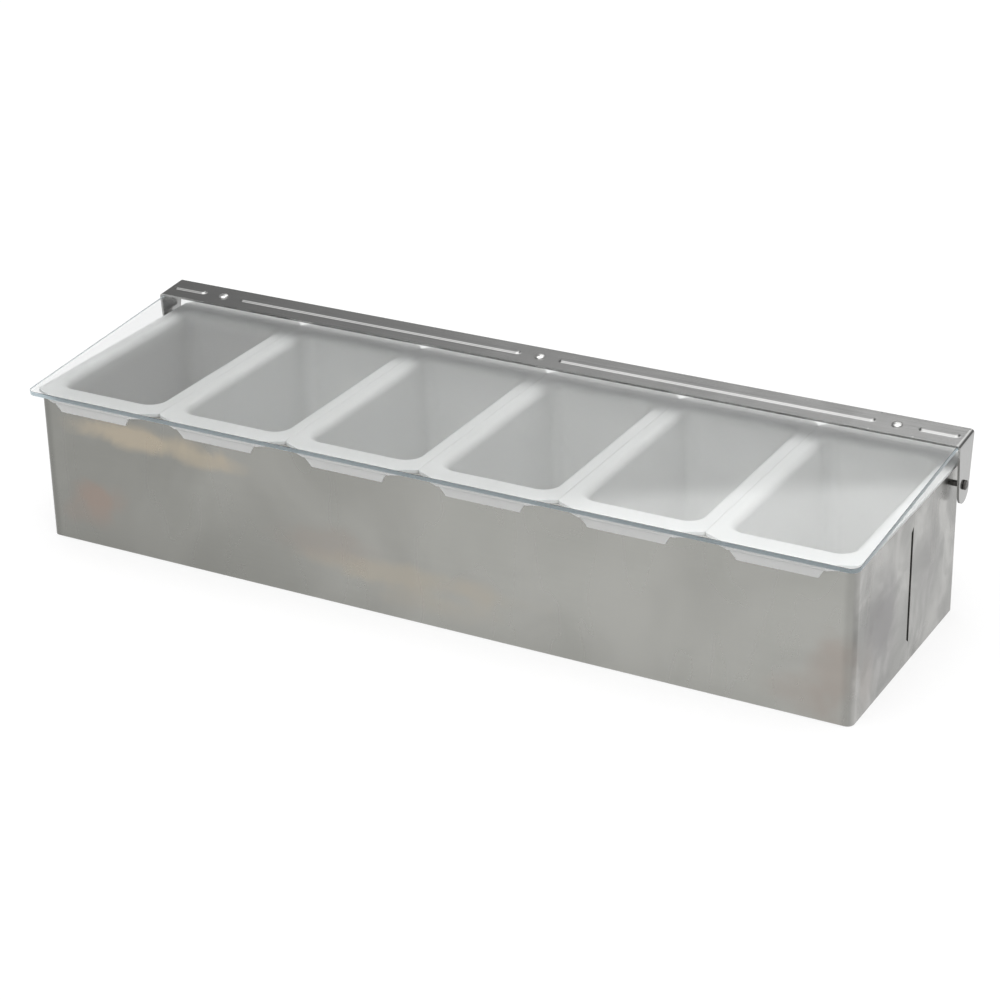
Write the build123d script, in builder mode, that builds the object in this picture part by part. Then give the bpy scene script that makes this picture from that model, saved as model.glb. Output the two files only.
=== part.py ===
from build123d import *
from math import cos, radians, sin
import os

# Bar garnish tray: a folded stainless box that carries six loose white pans
# under one clear lid. The lid hangs from a stainless hinge bar whose two arms
# turn on pins in the end walls.
# Frame: X along the length, Y from front to back, Z up.
# The origin is the centre of the box's underside.

# Box of folded sheet, which the row of pans makes long enough
box_depth = 142.0
wall_height = 86.0
sheet = 0.8
corner_bend = 4.0
base_flange = 10.0
base_bend = 1.4
sheet_gap = 0.1

# Upright seam in the middle of each end wall
seam_y = 4.5
seam_slot = 3.0
seam_slot_low = 11.5
seam_slot_top = 9.0
seam_slot_taper = 2.5
strap_width = 26.0
strap_head_gap = 3.0

# Pans
pan_count = 6
pan_width = 81.0
pan_gap = 0.3
end_overhang = 1.0
front_overhang = 7.0
rear_overhang = 9.0
pan_wall = 2.0
rim_thickness = 2.0
rim_edge = 0.5
front_taper = 7.0
rear_chamfer_width = 7.5
rear_chamfer_length = 7.5
rim_corner = 2.5
side_flange = 9.0
end_flange = 17.0
mouth_corner = 8.0
mouth_round = 2.6
pan_floor_gap = 3.5
pan_draft = 4.0
floor_round = 7.0
tab_width = 52.0
tab_foot_width = 44.0
tab_drop = 5.5
tab_thickness = 1.6
tab_lean = 14.0
tab_foot_round = 1.2

# Lid and hinge bar
lid_side_inset = 2.2
lid_thickness = 2.5
lid_angle = 4.3
lid_corner = 5.0
lid_edge = 0.4
lid_overhang = 1.0
lid_rest_gap = 0.15
arm_wall_gap = 4.0
bar_width = 21.0
bar_rear_reach = 13.3
bar_sheet = 1.2
bar_bend = 0.8
bar_seat_gap = 0.05
rib_width = 4.6
rib_height = 0.9
rib_flank = 50.0
rib_rivet_gap = 12.0
rib_end_margin = 4.0

# Rivets through the bar and the lid
rivet_count = 3
rivet_end_inset = 36.0
rivet_head = 6.0
rivet_head_height = 1.3
rivet_shank = 3.5
rivet_tail = 5.2
rivet_tail_height = 0.4
rivet_fit = 0.1
washer_diameter = 8.0
washer_thickness = 0.5

# Pivot pins
pivot_wall_inset = 8.5
pivot_drop = 9.5
pin_diameter = 3.2
pin_fit = 0.05
pin_inner_head = 5.6
pin_inner_head_height = 1.0
pin_outer_head = 5.2
pin_outer_head_height = 1.1
pin_head_bevel = 0.4
pin_head_gap = 0.25
arm_end_radius = 7.2
arm_end_drop = 3.0

overrun = 5.0

# Places that follow from the sizes above
box_length = pan_count * pan_width - 2 * end_overhang
wall_inner_x = box_length / 2 - sheet
seam_slot_high = wall_height - seam_slot_top
pan_length = box_depth + front_overhang + rear_overhang
pan_centre_y = (rear_overhang - front_overhang) / 2
rim_top = wall_height + rim_thickness
rim_front = pan_centre_y - pan_length / 2
arm_inner_x = box_length / 2 + arm_wall_gap
arm_outer_x = arm_inner_x + bar_sheet
bar_length = 2 * arm_outer_x
lid_width = bar_length - 2 * lid_side_inset
pivot_y = box_depth / 2 - pivot_wall_inset
pivot_z = wall_height - pivot_drop
mouth_width = pan_width - 2 * side_flange
mouth_length = pan_length - 2 * end_flange
pan_height = wall_height - pan_floor_gap - sheet
lid_tilt = radians(lid_angle)

# The lid lies on the front edge of the pan rims, and this plane is its
# underside: x along the length, y up the slope, z out of the lid.
lid_front_y = rim_front - lid_overhang * cos(lid_tilt)
lid_front_z = rim_top + lid_rest_gap - lid_overhang * sin(lid_tilt)
lid_plane = Plane(
    origin=(0, lid_front_y, lid_front_z),
    x_dir=(1, 0, 0),
    z_dir=(0, -sin(lid_tilt), cos(lid_tilt)),
)
pivot_along_lid = lid_plane.to_local_coords(Vector(0, pivot_y, pivot_z)).Y
lid_depth = pivot_along_lid + bar_rear_reach
bar_plane = lid_plane.offset(lid_thickness + bar_seat_gap)
bar_front = lid_depth - bar_width
bar_middle = lid_depth - bar_width / 2
rivet_spacing = (lid_width - 2 * rivet_end_inset) / (rivet_count - 1)
rivet_xs = [rivet_spacing * (i - (rivet_count - 1) / 2) for i in range(rivet_count)]


def side_point(plane, along, up):
    # Depth and height of a point that is given along a tilted plane's slope.
    place = plane.from_local_coords(Vector(0, along, up))
    return (place.Y, place.Z)


os.makedirs("parts", exist_ok=True)

# Front and rear shells: each is one sheet bent round two corners, so that the
# two meet in a butt seam in the middle of each end wall.
shell_split = {"front_shell": -1, "rear_shell": 1}
for shell_name, side in shell_split.items():
    with BuildPart() as shell:
        with BuildSketch():
            RectangleRounded(box_length, box_depth, corner_bend)
            RectangleRounded(
                box_length - 2 * sheet,
                box_depth - 2 * sheet,
                corner_bend - sheet,
                mode=Mode.SUBTRACT,
            )
            with Locations((0, seam_y + side * box_depth)):
                Rectangle(box_length + overrun, 2 * box_depth, mode=Mode.INTERSECT)
        extrude(amount=wall_height)
        if side < 0:
            # The front flaps stand back from the seam between two short toes.
            with BuildSketch(Plane.YZ):
                with BuildLine():
                    Polyline(
                        (seam_y + overrun, seam_slot_low),
                        (seam_y, seam_slot_low),
                        (seam_y - seam_slot, seam_slot_low + seam_slot_taper),
                        (seam_y - seam_slot, seam_slot_high - seam_slot_taper),
                        (seam_y, seam_slot_high),
                        (seam_y + overrun, seam_slot_high),
                        close=True,
                    )
                make_face()
            extrude(amount=box_length, both=True, mode=Mode.SUBTRACT)
        else:
            # Holes for the pivot pins.
            with BuildSketch(Plane.YZ):
                with Locations((pivot_y, pivot_z)):
                    Circle(pin_diameter / 2 + pin_fit)
            extrude(amount=box_length, both=True, mode=Mode.SUBTRACT)
    shell.part.label = shell_name
    export_step(shell.part, f"parts/{shell_name}.step")

# Base: a shallow tray inside the shells, flush with their lower edges.
base_length = box_length - 2 * (sheet + sheet_gap)
base_depth = box_depth - 2 * (sheet + sheet_gap)
with BuildPart() as base_pan:
    with BuildSketch():
        RectangleRounded(base_length, base_depth, corner_bend - sheet - sheet_gap)
    extrude(amount=base_flange)
    fillet(base_pan.faces().sort_by(Axis.Z)[0].edges(), base_bend)
    offset(amount=-sheet, openings=base_pan.faces().sort_by(Axis.Z)[-1])
base_pan.part.label = "base_pan"
export_step(base_pan.part, "parts/base_pan.step")

# Seam straps: flat strips welded behind the two seams, above the base flange.
strap_foot = base_flange + sheet_gap
strap_height = wall_height - strap_head_gap - strap_foot
for strap_name, side in {"left_seam_strap": -1, "right_seam_strap": 1}.items():
    strap_plane = Plane(
        origin=(side * wall_inner_x, seam_y, strap_foot + strap_height / 2),
        x_dir=(0, side, 0),
        z_dir=(side, 0, 0),
    )
    with BuildPart() as strap:
        with BuildSketch(strap_plane):
            Rectangle(strap_width, strap_height)
        extrude(amount=-sheet)
    strap.part.label = strap_name
    export_step(strap.part, f"parts/{strap_name}.step")

# Pivot pins: the inner head bears on the wall, the shank crosses the gap to
# the arm, and the riveted outer head keeps the arm on.
pin_reach = arm_outer_x + pin_head_gap - wall_inner_x
for pin_name, side in {"left_pivot_pin": -1, "right_pivot_pin": 1}.items():
    pin_plane = Plane(
        origin=(side * wall_inner_x, pivot_y, pivot_z),
        x_dir=(0, side, 0),
        z_dir=(side, 0, 0),
    )
    with BuildPart() as pin:
        with BuildSketch(pin_plane.offset(-pin_inner_head_height)):
            Circle(pin_inner_head / 2)
        extrude(amount=pin_inner_head_height)
        inner_rim = pin.faces().sort_by(Axis.X)[-1 if side < 0 else 0].edges()
        chamfer(inner_rim, pin_head_bevel)
        with BuildSketch(pin_plane):
            Circle(pin_diameter / 2)
        extrude(amount=pin_reach)
        with BuildSketch(pin_plane.offset(pin_reach)):
            Circle(pin_outer_head / 2)
        extrude(amount=pin_outer_head_height)
        outer_rim = pin.faces().sort_by(Axis.X)[0 if side < 0 else -1].edges()
        chamfer(outer_rim, pin_head_bevel)
    pin.part.label = pin_name
    export_step(pin.part, f"parts/{pin_name}.step")

# Pans: a wide flat rim that rests on the walls, a tapered well with round
# corners and floor, and a short leaning tab along the front of the rim. The
# rim narrows to the tab in front and is cut off at its rear corners.
draft_shift = pan_height * sin(radians(pan_draft)) / cos(radians(pan_draft))
rim_half = (pan_width - pan_gap) / 2
mouth_plane = Plane((0, pan_centre_y, wall_height))
tab_tilt = radians(tab_lean)
tab_plane = Plane(
    origin=(0, rim_front, rim_top - rim_edge),
    x_dir=(1, 0, 0),
    z_dir=(0, -cos(tab_tilt), -sin(tab_tilt)),
)

# The hollow of one well
with BuildPart() as well:
    with BuildSketch(mouth_plane.offset(rim_thickness)):
        RectangleRounded(mouth_width, mouth_length, mouth_corner)
    with BuildSketch(mouth_plane.offset(pan_wall - pan_height)):
        RectangleRounded(
            mouth_width - 2 * draft_shift,
            mouth_length - 2 * draft_shift,
            mouth_corner,
        )
    loft()
    fillet(well.faces().sort_by(Axis.Z)[0].edges(), floor_round)

# One pan in the middle of the row
with BuildPart() as pan_form:
    with BuildSketch(mouth_plane):
        RectangleRounded(
            mouth_width + 2 * pan_wall,
            mouth_length + 2 * pan_wall,
            mouth_corner + pan_wall,
        )
    with BuildSketch(mouth_plane.offset(-pan_height)):
        RectangleRounded(
            mouth_width + 2 * pan_wall - 2 * draft_shift,
            mouth_length + 2 * pan_wall - 2 * draft_shift,
            mouth_corner + pan_wall,
        )
    loft()
    fillet(pan_form.faces().sort_by(Axis.Z)[0].edges(), floor_round + pan_wall)
    with BuildSketch(mouth_plane) as rim_sketch:
        with BuildLine():
            Polyline(
                (-tab_width / 2, -pan_length / 2),
                (tab_width / 2, -pan_length / 2),
                (rim_half, front_taper - pan_length / 2),
                (rim_half, pan_length / 2 - rear_chamfer_length),
                (rim_half - rear_chamfer_width, pan_length / 2),
                (rear_chamfer_width - rim_half, pan_length / 2),
                (-rim_half, pan_length / 2 - rear_chamfer_length),
                (-rim_half, front_taper - pan_length / 2),
                close=True,
            )
        make_face()
        rim_points = rim_sketch.vertices().sort_by(Axis.Y)[2:]
        fillet(rim_points, rim_corner)
    extrude(amount=rim_thickness)
    chamfer(pan_form.faces().sort_by(Axis.Z)[-1].edges(), rim_edge)
    add(well.part, mode=Mode.SUBTRACT)
    mouth_face = pan_form.faces().sort_by(Axis.Z)[-1]
    fillet(mouth_face.inner_wires()[0].edges(), mouth_round)
    with BuildSketch(tab_plane):
        with BuildLine():
            Polyline(
                (-tab_width / 2, 0),
                (-tab_foot_width / 2, -tab_drop - rim_thickness),
                (tab_foot_width / 2, -tab_drop - rim_thickness),
                (tab_width / 2, 0),
                close=True,
            )
        make_face()
        fillet(vertices().group_by(Axis.Y)[0], tab_foot_round)
    extrude(amount=-tab_thickness)

for i in range(pan_count):
    with BuildPart() as pan:
        with Locations((pan_width * (i - (pan_count - 1) / 2), 0)):
            add(pan_form.part)
    pan.part.label = f"pan_{i + 1}"
    export_step(pan.part, f"parts/pan_{i + 1}.step")

# Lid: one flat clear plate with rounded corners, drilled for the rivets.
lid_normal = Axis(lid_plane.origin, lid_plane.z_dir)
rivet_places = [(x, bar_middle) for x in rivet_xs]
with BuildPart() as lid:
    with BuildSketch(lid_plane):
        with Locations((0, lid_depth / 2)):
            RectangleRounded(lid_width, lid_depth, lid_corner)
    extrude(amount=lid_thickness)
    lid_faces = lid.faces().sort_by(lid_normal)
    chamfer(lid_faces[0].edges() + lid_faces[-1].edges(), lid_edge)
    with BuildSketch(lid_plane):
        with Locations(*rivet_places):
            Circle(rivet_shank / 2 + rivet_fit)
    extrude(amount=lid_thickness, mode=Mode.SUBTRACT)
lid.part.label = "lid"
export_step(lid.part, "parts/lid.step")

# Hinge bar: one strip bent down at both ends into arms that narrow to round
# ends just below the pivots, stiffened by pressed ribs between the rivets.
bar_corners = [
    side_point(bar_plane, bar_front, 0),
    side_point(bar_plane, lid_depth, 0),
    side_point(bar_plane, lid_depth, bar_sheet),
    side_point(bar_plane, bar_front, bar_sheet),
]
section_plane = Plane(
    origin=bar_plane.from_local_coords(Vector(0, lid_depth + overrun, bar_sheet)),
    x_dir=(1, 0, 0),
    z_dir=-lid_plane.y_dir,
)
rib_limit = arm_outer_x - rib_end_margin + rib_rivet_gap
rib_stops = [-rib_limit, *rivet_xs, rib_limit]
with BuildPart() as hinge_bar:
    with BuildSketch(section_plane) as section:
        Rectangle(bar_length, bar_length, align=(Align.CENTER, Align.MAX))
        fillet(section.vertices().group_by(Axis.Y)[-1], bar_bend + bar_sheet)
        offset(amount=-bar_sheet, mode=Mode.SUBTRACT)
    extrude(amount=bar_width + 2 * overrun)
    with BuildSketch(Plane.YZ):
        with Locations((pivot_y, pivot_z - arm_end_drop)):
            Circle(arm_end_radius)
        with BuildLine():
            Polyline(*bar_corners, close=True)
        make_hull()
        with Locations((pivot_y, pivot_z)):
            Circle(pin_diameter / 2 + pin_fit, mode=Mode.SUBTRACT)
    extrude(amount=bar_length, both=True, mode=Mode.INTERSECT)
    for low, high in zip(rib_stops, rib_stops[1:]):
        rib_length = high - low - 2 * rib_rivet_gap
        with BuildSketch(bar_plane.offset(bar_sheet)):
            with Locations(((low + high) / 2, bar_middle)):
                SlotOverall(rib_length, rib_width)
        extrude(amount=rib_height, taper=rib_flank)
        with BuildSketch(bar_plane):
            with Locations(((low + high) / 2, bar_middle)):
                SlotOverall(rib_length, rib_width)
        extrude(amount=rib_height, taper=rib_flank, mode=Mode.SUBTRACT)
    with BuildSketch(bar_plane):
        with Locations(*rivet_places):
            Circle(rivet_shank / 2 + rivet_fit)
    extrude(amount=bar_sheet, mode=Mode.SUBTRACT)
hinge_bar.part.label = "hinge_bar"
export_step(hinge_bar.part, "parts/hinge_bar.step")

# Rivets: domed heads on the bar, flat tails under the washers.
tail_plane = lid_plane.offset(-washer_thickness)
shank_length = washer_thickness + lid_thickness + bar_seat_gap + bar_sheet
with BuildPart() as lid_rivets:
    with BuildSketch(bar_plane.offset(bar_sheet)):
        with Locations(*rivet_places):
            Circle(rivet_head / 2)
    extrude(amount=rivet_head_height)
    crowns = lid_rivets.faces().sort_by(lid_normal)[-rivet_count:]
    fillet(crowns.edges(), rivet_head_height - rivet_fit)
    with BuildSketch(tail_plane):
        with Locations(*rivet_places):
            Circle(rivet_shank / 2)
    extrude(amount=shank_length)
    with BuildSketch(tail_plane):
        with Locations(*rivet_places):
            Circle(rivet_tail / 2)
    extrude(amount=-rivet_tail_height)
lid_rivets.part.label = "lid_rivets"
export_step(lid_rivets.part, "parts/lid_rivets.step")

# Washers that spread the rivets' load on the plate.
with BuildPart() as rivet_washers:
    with BuildSketch(tail_plane):
        with Locations(*rivet_places):
            Circle(washer_diameter / 2)
            Circle(rivet_shank / 2 + rivet_fit, mode=Mode.SUBTRACT)
    extrude(amount=washer_thickness)
rivet_washers.part.label = "rivet_washers"
export_step(rivet_washers.part, "parts/rivet_washers.step")
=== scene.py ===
import bpy
import math
import numpy as np
from mathutils import Matrix, Vector


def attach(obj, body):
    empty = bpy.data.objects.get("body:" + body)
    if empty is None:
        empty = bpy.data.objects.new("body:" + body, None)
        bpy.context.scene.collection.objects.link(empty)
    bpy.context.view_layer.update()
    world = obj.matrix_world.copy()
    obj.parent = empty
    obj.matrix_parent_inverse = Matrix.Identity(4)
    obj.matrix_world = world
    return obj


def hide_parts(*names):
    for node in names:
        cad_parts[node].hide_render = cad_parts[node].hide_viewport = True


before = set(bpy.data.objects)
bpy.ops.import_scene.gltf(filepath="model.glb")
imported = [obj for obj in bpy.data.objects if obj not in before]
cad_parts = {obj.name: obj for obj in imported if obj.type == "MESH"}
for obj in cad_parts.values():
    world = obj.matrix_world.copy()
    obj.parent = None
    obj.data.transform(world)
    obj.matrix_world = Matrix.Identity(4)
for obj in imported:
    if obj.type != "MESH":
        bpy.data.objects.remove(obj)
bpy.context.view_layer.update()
print("frame loaded:", len(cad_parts), "nodes")

mm = 0.001


# Small tools for surfaces
def gridFaces(rows, cols, closedCols):
    # Quads (r,c) (r,c+1) (r+1,c+1) (r+1,c); the last column joins the first when the grid is closed.
    r = np.arange(rows - 1)[:, None]
    c = np.arange(cols if closedCols else cols - 1)[None, :]
    after = (c + 1) % cols
    quads = np.stack([r * cols + c, r * cols + after, (r + 1) * cols + after, (r + 1) * cols + c], axis=-1)
    return quads.reshape(-1, 4).tolist()


def stackFaces(rows, cols):
    # A closed tube of loops with one flat cap on the first loop and one on the last.
    caps = [list(range(cols))[::-1], [(rows - 1) * cols + c for c in range(cols)]]
    return gridFaces(rows, cols, True) + caps


def addPiece(name, parts, material, body, nodes=(), sharpDegrees=40):
    # One object from several (points, faces) parts, with its place in its mesh.
    points, faces, start = [], [], 0
    for partPoints, partFaces in parts:
        flat = np.asarray(partPoints, float).reshape(-1, 3)
        points.append(flat)
        faces += [[start + i for i in face] for face in partFaces]
        start += len(flat)
    mesh = bpy.data.meshes.new(name)
    mesh.from_pydata(np.concatenate(points).tolist(), [], faces)
    mesh.update()
    mesh.polygons.foreach_set("use_smooth", np.ones(len(mesh.polygons), bool))
    mesh.set_sharp_from_angle(angle=math.radians(sharpDegrees))
    mesh.materials.append(material)
    piece = bpy.data.objects.new(name, mesh)
    bpy.context.scene.collection.objects.link(piece)
    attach(piece, body)
    if nodes:
        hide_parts(*nodes)
    return piece


def flattenShading(piece):
    # Lets the large flat faces keep their own normals, so that they reflect as flat sheets do.
    normals = piece.modifiers.new("normals", "WEIGHTED_NORMAL")
    normals.mode = "FACE_AREA"
    normals.weight = 50
    normals.keep_sharp = True


def addWall(piece, thickness, bevel):
    # Gives a single skin its thickness on the inner side, then softens the sheet's edges.
    wall = piece.modifiers.new("wall", "SOLIDIFY")
    wall.thickness = thickness
    wall.offset = -1
    wall.use_even_offset = True
    edge = piece.modifiers.new("edge", "BEVEL")
    edge.width = bevel
    edge.segments = 2
    edge.limit_method = "ANGLE"
    edge.angle_limit = math.radians(50)
    flattenShading(piece)


def roundedLoops(halfX, halfY, radius, perCorner=14):
    # Rounded rectangles, one per row: each corner is centre + radius * (cos a, sin a), a in quarter turns.
    halfX, halfY, radius = [np.atleast_1d(np.asarray(v, float))[:, None] for v in (halfX, halfY, radius)]
    quarter = np.arange(4).repeat(perCorner)
    angle = np.pi / 2 * (quarter + np.tile(np.linspace(0, 1, perCorner), 4))
    signX = np.array([1, -1, -1, 1])[quarter]
    signY = np.array([1, 1, -1, -1])[quarter]
    x = signX * (halfX - radius) + radius * np.cos(angle)
    y = signY * (halfY - radius) + radius * np.sin(angle)
    return x, y


def outlineLoops(corners, radii, counts, insets):
    # One loop per inset along a convex outline. A corner is the arc centre - (radius - inset) * n(t), where n turns
    # from the inward normal of the side before it to that of the side after it, in count points.
    corners = np.asarray(corners, float)
    before = corners - np.roll(corners, 1, axis=0)
    angleBefore = np.arctan2(before[:, 0], -before[:, 1])
    turn = np.mod(np.roll(angleBefore, -1) - angleBefore, 2 * np.pi)
    middle = angleBefore + turn / 2
    radii, insets = np.asarray(radii, float), np.asarray(insets, float)[:, None]
    centres = corners + (radii / np.cos(turn / 2))[:, None] * np.stack([np.cos(middle), np.sin(middle)], axis=-1)
    index = np.arange(len(corners)).repeat(counts)
    angle = np.concatenate([a + t * np.linspace(0, 1, n) for a, t, n in zip(angleBefore, turn, counts)])
    reach = radii[index][None, :] - insets
    return centres[index, 0][None, :] - reach * np.cos(angle), centres[index, 1][None, :] - reach * np.sin(angle)


def turnedPart(profile, centre, axis, side, count=48):
    # A turned shape: for each (r, h) of the profile, point = centre + h * axis + r * (cos a * side + sin a * third),
    # where third is axis x side.
    profile = np.asarray(profile, float)
    angle = np.linspace(0, 2 * np.pi, count, endpoint=False)
    axis, side = np.asarray(axis, float), np.asarray(side, float)
    third = np.cross(axis, side)
    ring = np.cos(angle)[:, None] * side + np.sin(angle)[:, None] * third
    points = np.asarray(centre, float) + profile[:, 1, None, None] * axis + profile[:, 0, None, None] * ring
    return points, stackFaces(len(profile), count)


# Shader tools
def newMaterial(name):
    material = bpy.data.materials.new(name)
    material.use_nodes = True
    tree = material.node_tree
    tree.nodes.clear()
    output = tree.nodes.new("ShaderNodeOutputMaterial")
    shader = tree.nodes.new("ShaderNodeBsdfPrincipled")
    tree.links.new(shader.outputs["BSDF"], output.inputs["Surface"])
    return material, tree, shader


def newGroup(name, inputs, outputs):
    group = bpy.data.node_groups.new(name, "ShaderNodeTree")
    for label, kind, value in inputs:
        socket = group.interface.new_socket(name=label, in_out="INPUT", socket_type=kind)
        if value is not None:
            socket.default_value = value
    for label, kind in outputs:
        group.interface.new_socket(name=label, in_out="OUTPUT", socket_type=kind)
    return group, group.nodes.new("NodeGroupInput"), group.nodes.new("NodeGroupOutput")


def mathNode(tree, operation, first, second=None, clamp=False):
    node = tree.nodes.new("ShaderNodeMath")
    node.operation = operation
    node.use_clamp = clamp
    for slotIndex, value in enumerate((first, second)):
        if value is None:
            continue
        if isinstance(value, (int, float)):
            node.inputs[slotIndex].default_value = value
        else:
            tree.links.new(value, node.inputs[slotIndex])
    return node.outputs[0]


def addShare(tree, base, value, share, clamp=False):
    # base + share * value
    return mathNode(tree, "ADD", base, mathNode(tree, "MULTIPLY", value, share), clamp)


def mixColour(tree, fac, first, second, blend="MIX"):
    node = tree.nodes.new("ShaderNodeMix")
    node.data_type = "RGBA"
    node.blend_type = blend
    for socket, value in ((node.inputs[0], fac), (node.inputs[6], first), (node.inputs[7], second)):
        if isinstance(value, (int, float)):
            socket.default_value = value
        elif isinstance(value, tuple):
            socket.default_value = (*value, 1)
        else:
            tree.links.new(value, socket)
    return node.outputs[2]


def noiseNode(tree, vector, scale, detail=4, roughness=0.5, distortion=0):
    node = tree.nodes.new("ShaderNodeTexNoise")
    node.inputs["Scale"].default_value = scale
    node.inputs["Detail"].default_value = detail
    node.inputs["Roughness"].default_value = roughness
    node.inputs["Distortion"].default_value = distortion
    tree.links.new(vector, node.inputs["Vector"])
    return node.outputs[0]


def rangeNode(tree, value, low, high, toLow, toHigh):
    node = tree.nodes.new("ShaderNodeMapRange")
    node.interpolation_type = "SMOOTHSTEP"
    for label, number in (("From Min", low), ("From Max", high), ("To Min", toLow), ("To Max", toHigh)):
        node.inputs[label].default_value = number
    tree.links.new(value, node.inputs["Value"])
    return node.outputs["Result"]


def stretchedPlace(tree, vector, scale):
    node = tree.nodes.new("ShaderNodeMapping")
    node.inputs["Scale"].default_value = scale
    tree.links.new(vector, node.inputs["Vector"])
    return node.outputs["Vector"]


def placeGroup(tree, group, values):
    node = tree.nodes.new("ShaderNodeGroup")
    node.node_tree = group
    for label, value in values.items():
        if isinstance(value, (int, float, tuple)):
            node.inputs[label].default_value = value
        else:
            tree.links.new(value, node.inputs[label])
    return node


# Rolled grain: noise drawn out along one direction, as a value round zero
grain = {"detail": 3, "weights": (("Coarse", 0.6), ("Fine", 0.4))}
grainGroup, grainIn, grainOut = newGroup(
    "rolledGrain",
    [("Place", "NodeSocketVector", None), ("Coarse", "NodeSocketFloat", 900.0), ("Fine", "NodeSocketFloat", 2600.0)],
    [("Lines", "NodeSocketFloat")],
)
lines = []
for label, weight in grain["weights"]:
    noise = grainGroup.nodes.new("ShaderNodeTexNoise")
    noise.inputs["Detail"].default_value = grain["detail"]
    grainGroup.links.new(grainIn.outputs["Place"], noise.inputs["Vector"])
    grainGroup.links.new(grainIn.outputs[label], noise.inputs["Scale"])
    lines.append(mathNode(grainGroup, "MULTIPLY", mathNode(grainGroup, "SUBTRACT", noise.outputs[0], 0.5), weight))
grainGroup.links.new(mathNode(grainGroup, "ADD", *lines), grainOut.inputs["Lines"])

# Cloud: soft patches and streaks of handling haze, each from 0 to 1
cloud = {
    "detail": 3, "distortion": 0.6, "range": (0.3, 0.7),
    # streaks: stretch, then size, detail, roughness and distortion of the noise
    "streakStretch": (1, 1, 0.35), "streakNoise": (30, 2, 0.5, 0.6), "streakRange": (0.42, 0.72),
}
cloudGroup, cloudIn, cloudOut = newGroup(
    "handlingCloud",
    [("Place", "NodeSocketVector", None), ("Size", "NodeSocketFloat", 12.0)],
    [("Patches", "NodeSocketFloat"), ("Streaks", "NodeSocketFloat")],
)
cloudNoise = cloudGroup.nodes.new("ShaderNodeTexNoise")
cloudNoise.inputs["Detail"].default_value = cloud["detail"]
cloudNoise.inputs["Distortion"].default_value = cloud["distortion"]
cloudGroup.links.new(cloudIn.outputs["Place"], cloudNoise.inputs["Vector"])
cloudGroup.links.new(cloudIn.outputs["Size"], cloudNoise.inputs["Scale"])
cloudGroup.links.new(rangeNode(cloudGroup, cloudNoise.outputs[0], *cloud["range"], 0, 1), cloudOut.inputs["Patches"])
streakPlace = stretchedPlace(cloudGroup, cloudIn.outputs["Place"], cloud["streakStretch"])
streakNoise = noiseNode(cloudGroup, streakPlace, *cloud["streakNoise"])
cloudGroup.links.new(rangeNode(cloudGroup, streakNoise, *cloud["streakRange"], 0, 1), cloudOut.inputs["Streaks"])

# Spot: one soft stain round a centre, with a ragged edge, from 0 to 1
# noise: size, detail, roughness and distortion; range: from full to nothing, in shares of the reach
spot = {"noise": (38, 3, 0.55, 0.4), "raggedShare": 3.0, "range": (0.25, 1.15)}
spotGroup, spotIn, spotOut = newGroup(
    "softSpot",
    [("Place", "NodeSocketVector", None), ("Centre", "NodeSocketVector", None), ("Reach", "NodeSocketVector", None),
     ("Ragged", "NodeSocketFloat", 0.5)],
    [("Mask", "NodeSocketFloat")],
)
away = spotGroup.nodes.new("ShaderNodeVectorMath")
away.operation = "SUBTRACT"
spotGroup.links.new(spotIn.outputs["Place"], away.inputs[0])
spotGroup.links.new(spotIn.outputs["Centre"], away.inputs[1])
shared = spotGroup.nodes.new("ShaderNodeVectorMath")
shared.operation = "DIVIDE"
spotGroup.links.new(away.outputs[0], shared.inputs[0])
spotGroup.links.new(spotIn.outputs["Reach"], shared.inputs[1])
length = spotGroup.nodes.new("ShaderNodeVectorMath")
length.operation = "LENGTH"
spotGroup.links.new(shared.outputs[0], length.inputs[0])
raggedNoise = noiseNode(spotGroup, spotIn.outputs["Place"], *spot["noise"])
raggedShift = mathNode(spotGroup, "SUBTRACT", raggedNoise, 0.5)
raggedEdge = mathNode(spotGroup, "MULTIPLY", raggedShift, spotIn.outputs["Ragged"])
spotLength = addShare(spotGroup, length.outputs["Value"], raggedEdge, spot["raggedShare"])
spotGroup.links.new(rangeNode(spotGroup, spotLength, *spot["range"], 1, 0), spotOut.inputs["Mask"])


def objectPlace(tree):
    return tree.nodes.new("ShaderNodeTexCoord").outputs["Object"]


def splitPlace(tree, place):
    node = tree.nodes.new("ShaderNodeSeparateXYZ")
    tree.links.new(place, node.inputs[0])
    return node.outputs


def placeGrain(tree, place, finish):
    # The grain's lines, drawn out as the finish says
    stretched = stretchedPlace(tree, place, finish["grainStretch"])
    coarse, fine = finish["grainSizes"]
    return placeGroup(tree, grainGroup, {"Place": stretched, "Coarse": coarse, "Fine": fine}).outputs["Lines"]


def placeCloud(tree, place, size):
    node = placeGroup(tree, cloudGroup, {"Place": place, "Size": size})
    return node.outputs["Patches"], node.outputs["Streaks"]


def shadeByLines(tree, shader, colour, lines, depth):
    # Base colour times 1 + depth * lines, the same in red, green and blue
    lineShade = addShare(tree, 1.0, lines, depth)
    shade = tree.nodes.new("ShaderNodeCombineColor")
    for channel in range(3):
        tree.links.new(lineShade, shade.inputs[channel])
    tree.links.new(mixColour(tree, 1.0, colour, shade.outputs[0], "MULTIPLY"), shader.inputs["Base Color"])


def bumpNode(tree, height, strength, distance, shader):
    node = tree.nodes.new("ShaderNodeBump")
    node.inputs["Strength"].default_value = strength
    node.inputs["Distance"].default_value = distance
    tree.links.new(height, node.inputs["Height"])
    tree.links.new(node.outputs["Normal"], shader.inputs["Normal"])


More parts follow.
